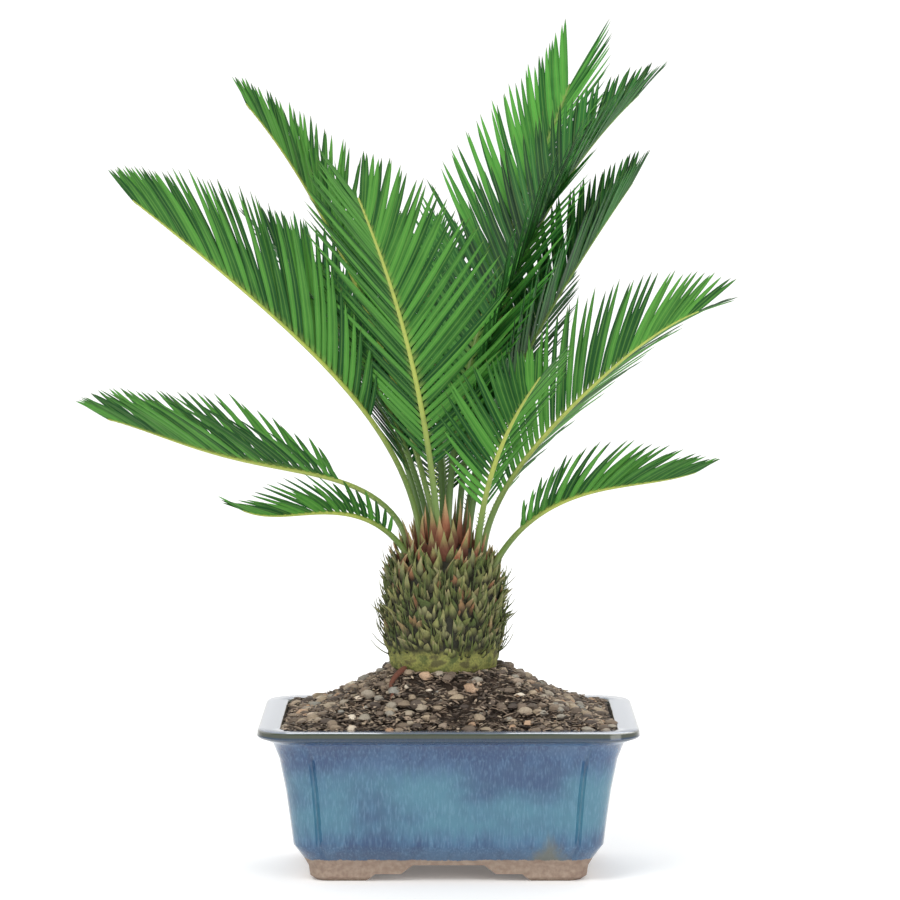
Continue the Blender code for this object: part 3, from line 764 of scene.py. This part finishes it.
def make_soil(finish):
    """The soil's body, from the pot's floor to a lumpy mound."""
    floor = FLOOR_TOP + SOIL_GAP
    wall = floor + FLOOR_CHAMFER
    rings = [
        pot_ring(inner_inset(floor) + FLOOR_CHAMFER + SOIL_GAP, floor, FLOOR_CORNER),
        pot_ring(inner_inset(wall) + SOIL_GAP, wall, WALL_CORNER),
        pot_ring(LIP_WIDTH + SOIL_EDGE_GAP, SOIL_EDGE - 0.0012, MOUTH_CORNER),
    ]
    edge = [(x - CENTRE.x, y - CENTRE.y) for x, y, _ in rings[-1]]
    for step in range(1, SOIL_RINGS):
        keep = 1.0 - step / SOIL_RINGS
        ring = []
        for x, y in edge:
            lump = noise.noise(Vector((x * keep, y * keep, 0.0)) * 190.0) * SOIL_LUMP
            height = mound_height(x * keep, y * keep) + lump - SOIL_SINK
            ring.append((x * keep + CENTRE.x, y * keep + CENTRE.y, height))
        rings.append(ring)
    bm = bmesh.new()
    extrude_through(bm, single(rings))
    soil = dressed(bm, "soil_bed", finish, "soil")
    soil.data.shade_smooth()


def scatter_place():
    """A random place on the mound, clear of the caudex."""
    while True:
        x = random.uniform(-1.0, 1.0) * (HALF_WIDTH - LIP_WIDTH - SCATTER_MARGIN)
        y = random.uniform(-1.0, 1.0) * (HALF_DEPTH - LIP_WIDTH - SCATTER_MARGIN)
        if math.hypot(x + TRUNK_SHIFT, y) > TRUNK_CLEAR:
            return x, y


def make_grit(finish):
    """Pebbles, grit and perlite lying on the mound."""
    heap = Heap()
    for _ in range(PEBBLE_COUNT):
        x, y = scatter_place()
        size = 0.0005 + 0.0030 * random.random() ** 2.6
        centre = CENTRE + Vector((x, y, mound_height(x, y) + size * 0.25))
        squash = random.uniform(0.55, 0.9)
        twist = random.uniform(0.0, math.pi)
        rings = []
        for level, girth in PEBBLE_LEVELS:
            ring = []
            for k in range(PEBBLE_SIDES):
                angle = twist + k * math.pi / 3
                wobble = girth * random.uniform(0.66, 1.20)
                ring.append(centre + Vector((
                    math.cos(angle) * size * wobble * 1.2,
                    math.sin(angle) * size * wobble,
                    level * size * squash,
                )))
            rings.append(ring)
        heap.tube(rings, random.random(), (0.0, 0.3, 0.6, 1.0), [0.0] * PEBBLE_SIDES)
    dressed(heap.mesh("soil_grit"), "soil_grit", finish, "soil")


def make_shreds(finish):
    """Bark shreds and fibres, flat or slightly raised."""
    heap = Heap()
    for _ in range(SHRED_COUNT):
        x, y = scatter_place()
        length = random.uniform(0.0016, 0.0060)
        width = random.uniform(0.0003, 0.0011)
        turn = random.uniform(0.0, 2 * math.pi)
        tilt = random.uniform(-0.35, 0.60)
        direction = Vector((
            math.cos(turn) * math.cos(tilt),
            math.sin(turn) * math.cos(tilt),
            math.sin(tilt),
        ))
        side = direction.cross(UP).normalized()
        top = side.cross(direction).normalized()
        centre = CENTRE + Vector((x, y, mound_height(x, y) + random.uniform(0.0, 0.0014)))
        rings = []
        for share, girth in SHRED_LEVELS:
            bend = top * (0.25 - share * share) * length * 0.18
            middle = centre + direction * length * share + bend
            rings.append([
                middle + side * width * girth,
                middle + top * width * 0.45 * girth,
                middle - side * width * girth,
                middle - top * width * 0.45 * girth,
            ])
        heap.tube(rings, random.random(), (0.0, 0.3, 0.7, 1.0), [1.0, 0.0, 1.0, 0.0])
    dressed(heap.mesh("soil_bark_shreds"), "soil_bark_shreds", finish, "soil")


def make_root_curl(finish):
    """The one surface root, a red-brown curl in front of the caudex's left side."""
    heap = Heap()
    points = [CENTRE + Vector((x, y, mound_height(x, y) + lift)) for x, y, lift in ROOT_ROUTE]
    turns = [k * math.pi / 4 for k in range(ROUND_SIDES)]
    rings = []
    for i, point in enumerate(points):
        before = points[max(0, i - 1)]
        after = points[min(len(points) - 1, i + 1)]
        forward = (after - before).normalized()
        side = forward.cross(UP).normalized()
        top = side.cross(forward).normalized()
        radius = ROOT_RADIUS * (1.0 - ROOT_TAPER * i)
        rings.append([point + (side * math.cos(turn) + top * math.sin(turn)) * radius for turn in turns])
    heap.tube(rings, 0.1, [0.1] * len(rings), [0.0] * ROUND_SIDES)
    root = dressed(heap.mesh("surface_root"), "surface_root", finish, "soil")
    rounding = root.modifiers.new("rounding", "SUBSURF")
    rounding.levels = 2
    rounding.render_levels = 2


def profile_at(height):
    """The caudex's radius at a height over the soil."""
    heights = [h for r, h in TRUNK_PROFILE]
    return float(np.interp(height, heights, [r for r, h in TRUNK_PROFILE]))


def crown_height(radius):
    """The height of the crown's slope at a distance from the trunk's axis."""
    slope = TRUNK_PROFILE[SHOULDER_ROW:]
    return float(np.interp(-radius, [-r for r, h in slope], [h for r, h in slope]))


def outward_at(angle):
    """Level direction away from the axis at an angle."""
    return Vector((math.cos(angle), math.sin(angle), 0.0))


def scale_rings(root, direction, outward, half_width, half_deep, length, curl, widths):
    """A pointed leaf base or sheath that bends outwards or inwards along its length."""
    across = direction.cross(outward).normalized()
    rings = []
    shares = [i / len(widths) for i in range(len(widths))]
    for share, width in zip(shares, widths):
        face = across.cross(direction).normalized()
        middle = root + direction * length * share + face * curl * length * share * share
        wide = half_width * width
        deep = half_deep * (1.0 - 0.6 * share)
        rings.append([
            middle + across * wide,
            middle + across * wide * 0.55 + face * deep,
            middle - across * wide * 0.55 + face * deep,
            middle - across * wide,
            middle - face * deep * 0.5,
        ])
    face = across.cross(direction).normalized()
    tip = root + direction * length + face * curl * length
    return rings, shares, tip


def make_core(finish):
    """The caudex's turned core, lobed at the foot."""
    rings = []
    for height in np.linspace(0.0, TRUNK_PROFILE[-1][1], CORE_RINGS):
        ring = []
        for k in range(CORE_SIDES):
            angle = 2 * math.pi * k / CORE_SIDES
            low = max(0.0, 1.0 - height / LOBE_HEIGHT)
            lobes = LOBE_DEPTH * abs(math.sin(angle * 5 + height * 60.0)) * low
            rough = noise.noise(Vector((math.cos(angle) * 9, math.sin(angle) * 9, height * 320.0))) * 0.0008
            radius = profile_at(height) - CORE_SINK + lobes + rough
            point = TRUNK_AXIS + outward_at(angle) * max(radius, CORE_THINNEST) + UP * (GROUND + height)
            ring.append(tuple(point))
        rings.append(ring)
    bm = bmesh.new()
    extrude_through(bm, single(rings))
    core = dressed(bm, "caudex_core", finish, "trunk")
    core.data.shade_smooth()


def add_leaf_bases(heap):
    """Old leaf bases that climb the caudex on a golden spiral, in mixed widths and lengths."""
    for i in range(SCALE_COUNT):
        share = (i + 0.5) / SCALE_COUNT
        height = SCALE_FOOT + SCALE_CLIMB * share + random.uniform(-0.0030, 0.0020)
        angle = i * GOLDEN_ANGLE + random.uniform(-0.06, 0.06)
        outward = outward_at(angle)
        lean = math.radians(24.0 + random.uniform(-10.0, 16.0) - 10.0 * share)
        sideways = UP.cross(outward) * random.uniform(-0.60, 0.60)
        direction = (UP * math.cos(lean) + outward * math.sin(lean) + sideways).normalized()
        root = TRUNK_AXIS + UP * (GROUND + height) + outward * (profile_at(height) - 0.0018)
        half_width = SCALE_HALF_WIDTH * random.uniform(0.35, 1.00)
        length = (0.0066 + 0.0044 * share) * random.uniform(0.55, 1.40)
        curl = random.uniform(-0.45, 0.35)
        rings, shares, tip = scale_rings(
            root, direction, outward, half_width, BASE_HALF_DEEP, length, curl, SCALE_GIRTHS,
        )
        heap.tube(rings, random.random(), shares, BASE_ACROSS, tip)


def add_fibres(heap):
    """Thin dark spines that stand off between the leaf bases."""
    for _ in range(FIBRE_COUNT):
        height = FIBRE_FOOT + FIBRE_CLIMB * random.random()
        outward = outward_at(random.uniform(0.0, 2 * math.pi))
        direction = (outward + UP * random.uniform(0.2, 1.6)).normalized()
        root = TRUNK_AXIS + UP * (GROUND + height) + outward * (profile_at(height) - 0.0010)
        length = random.uniform(0.0065, 0.0155)
        rings, shares, tip = scale_rings(
            root, direction, outward, 0.0007, 0.0005, length, -0.45, FIBRE_GIRTHS,
        )
        heap.tube(rings, 0.4 * random.random(), shares, BASE_ACROSS, tip)


def add_sheaths(heap):
    """Pointed sheaths round the stalks, longer towards the crown's middle."""
    for i in range(SHEATH_COUNT):
        share = (i + 0.5) / SHEATH_COUNT
        radius = SHEATH_START + SHEATH_SPREAD * math.sqrt(share)
        outward = outward_at(i * GOLDEN_ANGLE)
        direction = (UP + outward * (0.05 + 0.45 * share)).normalized()
        root = TRUNK_AXIS + UP * (GROUND + crown_height(radius) - SHEATH_SINK) + outward * radius
        length = random.uniform(0.0160, 0.0290) * (1.0 - 0.45 * share)
        curl = random.uniform(-0.15, 0.12)
        rings, shares, tip = scale_rings(
            root, direction, outward, SHEATH_HALF_WIDTH, BASE_HALF_DEEP, length, curl, SHEATH_GIRTHS,
        )
        heap.tube(rings, random.random(), shares, BASE_ACROSS, tip)


def make_trunk(bark_look, core_look, sheath_look):
    """The caudex: the core, its coat of leaf bases and fibres, and the crown's sheaths."""
    make_core(core_look)
    coat = Heap()
    add_leaf_bases(coat)
    add_fibres(coat)
    dressed(coat.mesh("caudex_leaf_bases"), "caudex_leaf_bases", bark_look, "trunk")
    crown = Heap()
    add_sheaths(crown)
    dressed(crown.mesh("crown_sheaths"), "crown_sheaths", sheath_look, "trunk")


def lean_at(frond, share):
    """Degrees from upright, on the smooth cubic through the four leans."""
    return np.polyval(np.polyfit((0.0, 1 / 3, 2 / 3, 1.0), frond.leans, 3), share)


def stalk_points(frond):
    """The rib's centre line, from inside the crown to its tip."""
    across, away = frond.seat
    point = TRUNK_AXIS + Vector((across, away, GROUND + crown_height(math.hypot(across, away))))
    heading = outward_at(math.radians(frond.azimuth))
    first = math.radians(frond.leans[0])
    start = heading * math.sin(first) + UP * math.cos(first)
    points = [point - start * STALK_ROOT, point.copy()]
    strides = STALK_STEPS * 2
    for i in range(strides):
        lean = math.radians(lean_at(frond, (i + 0.5) / strides))
        point = point + (heading * math.sin(lean) + UP * math.cos(lean)) * (frond.length / strides)
        if i % 2 == 1:
            points.append(point.copy())
    return points


def rib_place(points, share):
    """The place on the rib's centre line at a share of its length."""
    spot = share * STALK_STEPS
    index = min(int(spot), STALK_STEPS - 1)
    return points[index + 1].lerp(points[index + 2], spot - index)


def stalk_radius(share):
    """The rib's radius at a share of its length."""
    return STALK_BASE_RADIUS + (STALK_TIP_RADIUS - STALK_BASE_RADIUS) * share ** 0.8


def blade_frame(frond, share):
    """The rib's direction, the blade's sideways and its upper face's direction."""
    lean = math.radians(lean_at(frond, share))
    heading = outward_at(math.radians(frond.azimuth))
    along = heading * math.sin(lean) + UP * math.cos(lean)
    face = UP * math.sin(lean) - heading * math.cos(lean)
    side = along.cross(face)
    roll = math.radians(frond.roll)
    return (
        along,
        side * math.cos(roll) + face * math.sin(roll),
        face * math.cos(roll) - side * math.sin(roll),
    )


def leaflet_rings(frond, points, share, hand):
    """One leaflet: a slim blade with a raised midrib, curved from rib to tip."""
    place = frond.bare + (1.0 - frond.bare) * share * 0.985
    root = rib_place(points, place)
    along, side, face = blade_frame(frond, place)
    fall = LEAFLET_ANGLE_FALL * share + LEAFLET_ANGLE_TIP_FALL * share ** 3
    angle = math.radians(LEAFLET_ANGLE - fall + random.uniform(-2.2, 2.2))
    vee = math.radians(frond.vee + random.uniform(-3.0, 3.0))
    spread = side * hand * math.cos(vee) + face * math.sin(vee)
    direction = along * math.cos(angle) + spread * math.sin(angle)
    rise = min(1.0, 0.35 + 2.6 * share)
    shrink = 1.0 - (1.0 - frond.end) * max(0.0, (share - 0.35) / 0.65) ** 1.6
    length = frond.leaflet * rise * shrink * random.uniform(0.95, 1.02)
    belly = root + direction * length * LEAFLET_BELLY
    droop = LEAFLET_DROOP + random.uniform(-0.05, 0.06)
    onward = (direction + along * LEAFLET_FORWARD - UP * droop).normalized()
    tip = belly + onward * length * (1.0 - LEAFLET_BELLY)
    across_out = direction.cross(along).normalized().cross(direction).normalized()
    rings = []
    for reach, width in LEAFLET_LEVELS:
        first = root.lerp(belly, reach)
        second = belly.lerp(tip, reach)
        middle = first.lerp(second, reach)
        forward = (second - first).normalized()
        normal = forward.cross(across_out).normalized()
        across = normal.cross(forward).normalized()
        half = LEAFLET_WIDTH / 2 * width * min(1.0, 0.55 + length / 0.10)
        deep = LEAFLET_THICKNESS / 2
        rings.append([
            middle + across * half - normal * half * 0.18,
            middle + normal * deep,
            middle - across * half - normal * half * 0.18,
            middle - normal * deep * 1.6,
        ])
    return rings, [reach for reach, width in LEAFLET_LEVELS], tip


def make_rib(frond, points, finish):
    """The rib with a row of small thorns down each side of its bare part."""
    stalk = Heap()
    rings = []
    alongs = []
    turns = [k * math.pi / 4 for k in range(ROUND_SIDES)]
    for i, point in enumerate(points):
        share = max(0, i - 1) / STALK_STEPS
        along, side, face = blade_frame(frond, share)
        radius = stalk_radius(share)
        rings.append([point + (side * math.cos(t) + face * math.sin(t) * 0.85) * radius for t in turns])
        alongs.append(share)
    stalk.tube(rings, 0.5, alongs, [0.0] * ROUND_SIDES)
    rows = frond.bare * frond.length / THORN_PITCH
    for i in range(int(rows)):
        share = THORN_START + (frond.bare - THORN_START) * (i + 0.5) / max(1, rows)
        root = rib_place(points, share)
        along, side, face = blade_frame(frond, share)
        for hand in (-1, 1):
            direction = (side * hand + along * 0.9 + face * 0.2).normalized()
            base = root + side * hand * stalk_radius(share) * 0.7
            thorn, _, tip = scale_rings(
                base, direction, face, 0.0004, 0.0003, THORN_LENGTH, 0.0, (1.0, 0.6),
            )
            stalk.tube(thorn, 0.5, [share, share], [0.0] * 5, tip)
    dressed(stalk.mesh(frond.name + "_rib"), frond.name + "_rib", finish, frond.name)


def make_leaflets(frond, points, finish):
    """Both rows of leaflets, one row half a step ahead of the other."""
    blades = Heap()
    count = round(frond.length * (1.0 - frond.bare) / LEAFLET_PITCH)
    for i in range(count):
        for hand in (-1, 1):
            share = (i + 0.25 + 0.25 * (hand + 1)) / count
            rings, shares, tip = leaflet_rings(frond, points, share, hand)
            blades.tube(rings, random.random(), shares, LEAFLET_ACROSS, tip)
    dressed(blades.mesh(frond.name + "_leaflets"), frond.name + "_leaflets", finish, frond.name)


def make_frond(frond, leaf, rib):
    """One frond, its rib first and then its leaflets."""
    points = stalk_points(frond)
    make_rib(frond, points, rib)
    make_leaflets(frond, points, leaf)


def make_stage():
    """A pale sweep under and behind the plant."""
    bm = bmesh.new()
    left = -SWEEP_HALF_WIDTH
    verts = [bm.verts.new((left, SWEEP_FRONT, 0.0)), bm.verts.new((left, SWEEP_BEND_START, 0.0))]
    for step in range(1, SWEEP_BEND_STEPS + 1):
        angle = math.radians(90.0 * step / SWEEP_BEND_STEPS)
        away = SWEEP_BEND_START + SWEEP_BEND * math.sin(angle)
        verts.append(bm.verts.new((left, away, SWEEP_BEND - SWEEP_BEND * math.cos(angle))))
    verts.append(bm.verts.new((left, SWEEP_BEND_START + SWEEP_BEND, SWEEP_TOP)))
    edges = [bm.edges.new((a, b)) for a, b in zip(verts, verts[1:])]
    made = bmesh.ops.extrude_edge_only(bm, edges=edges)["geom"]
    for vertex in (item for item in made if isinstance(item, bmesh.types.BMVert)):
        vertex.co.x = SWEEP_HALF_WIDTH
    mesh = bpy.data.meshes.new("pale_sweep")
    bm.to_mesh(mesh)
    bm.free()
    mesh.shade_smooth()
    sweep = bpy.data.objects.new("pale_sweep", mesh)
    bpy.context.scene.collection.objects.link(sweep)
    finish = new_finish(
        "pale_paper", Roughness=0.9, Base_Color=(0.92, 0.92, 0.92, 1.0),
        Emission_Color=(1.0, 1.0, 1.0, 1.0), Emission_Strength=PAPER_GLOW,
    )[0]
    mesh.materials.append(finish)


def soft_light(name, place, power, size, tone=(1.0, 1.0, 1.0)):
    """An area light that faces the middle of the plant."""
    lamp = bpy.data.lights.new(name, "AREA")
    lamp.energy = power
    lamp.size = size
    lamp.color = tone
    made = bpy.data.objects.new(name, lamp)
    made.location = place
    aim = CENTRE + UP * LAMP_AIM_HEIGHT - Vector(place)
    made.rotation_euler = aim.to_track_quat("-Z", "Y").to_euler()
    bpy.context.scene.collection.objects.link(made)


def make_world():
    """A white world, dimmer as a light than as a backdrop."""
    world = bpy.data.worlds.new("white_studio")
    bpy.context.scene.world = world
    world.use_nodes = True
    tree = world.node_tree
    seen = tree.nodes.new("ShaderNodeBackground")
    both = tree.nodes.new("ShaderNodeMixShader")
    glow = tree.nodes["Background"]
    for backdrop, strength in ((glow, WORLD_GLOW), (seen, 1.0)):
        backdrop.inputs["Color"].default_value = (1.0, 1.0, 1.0, 1.0)
        backdrop.inputs["Strength"].default_value = strength
    tree.links.new(tree.nodes.new("ShaderNodeLightPath").outputs["Is Camera Ray"], both.inputs[0])
    tree.links.new(glow.outputs[0], both.inputs[1])
    tree.links.new(seen.outputs[0], both.inputs[2])
    tree.links.new(both.outputs[0], tree.nodes["World Output"].inputs["Surface"])


def make_studio():
    """The world, three soft lamps and the camera."""
    make_world()
    soft_light("key_above_left", (-0.9, -1.3, 1.7), 22.0, 1.0, (1.0, 0.99, 0.97))
    soft_light("fill_front_right", (1.4, -1.6, 0.8), 15.0, 1.3)
    soft_light("back_wash", (0.3, 1.3, 1.6), 12.0, 1.2)

    camera = bpy.data.objects.new("camera", bpy.data.cameras.new("camera"))
    camera.data.lens = CAMERA_LENS
    camera.data.clip_end = CAMERA_FAR
    camera.location = CAMERA_TARGET + Vector((
        0.0,
        -CAMERA_DISTANCE * math.cos(CAMERA_ELEVATION),
        CAMERA_DISTANCE * math.sin(CAMERA_ELEVATION),
    ))
    camera.rotation_euler = (math.pi / 2 - CAMERA_ELEVATION, 0.0, 0.0)
    bpy.context.scene.collection.objects.link(camera)
    bpy.context.scene.camera = camera
    bpy.context.scene.view_settings.view_transform = "Standard"


def make_plant():
    """The caudex with its surface root, then every frond in the finish for its place, with painted shade on
    the fronds behind and painted light on the tall right frond.
    """
    sheath = sheath_finish()
    make_trunk(bark_finish(), core_finish(), sheath)
    make_root_curl(sheath)
    # Lit and shaded copies of one leaf: the deep copy is painted shade for the fronds behind, the sunlit
    # copy is painted light for the tall right frond
    fresh = leaf_finish("leaflet_green", (26, 74, 30), (76, 138, 54))
    sunlit = leaf_finish("leaflet_sunlit_green", (32, 92, 34), (84, 158, 62))
    deep = leaf_finish("leaflet_deep_green", (16, 56, 26), (44, 108, 44))
    yellow_rib = rib_finish("rib_yellow_green", (98, 124, 58), (166, 178, 82))
    # The darker green rib is the tall right frond's rib colour, and painted shade on the fronds behind
    green_and_shade_rib = rib_finish("rib_green", (80, 110, 52), (118, 148, 66))
    for frond in FRONDS:
        shaded = frond.name in BEHIND or frond.name.startswith("frond_back")
        if frond.name == "frond_tall_right":
            make_frond(frond, sunlit, green_and_shade_rib)
        else:
            make_frond(frond, deep if shaded else fresh, green_and_shade_rib if shaded else yellow_rib)


def make_bed():
    """The soil, and the grit and shreds that lie on it."""
    make_soil(soil_finish())
    make_grit(grain_finish("grit_and_perlite", (
        (0.00, colour(70, 60, 54)),
        (0.35, colour(124, 108, 92)),
        (0.60, colour(174, 156, 132)),
        (0.78, colour(142, 140, 132)),
        (0.92, colour(178, 142, 110)),
        (1.00, colour(232, 224, 206)),
    ), 0.70))
    make_shreds(grain_finish("bark_shreds", (
        (0.00, colour(46, 40, 36)),
        (0.45, colour(104, 90, 78)),
        (0.80, colour(150, 130, 112)),
        (1.00, colour(190, 172, 150)),
    ), 0.85))


make_studio()
make_stage()
make_pot(glaze_finish())
make_bed()
make_plant()
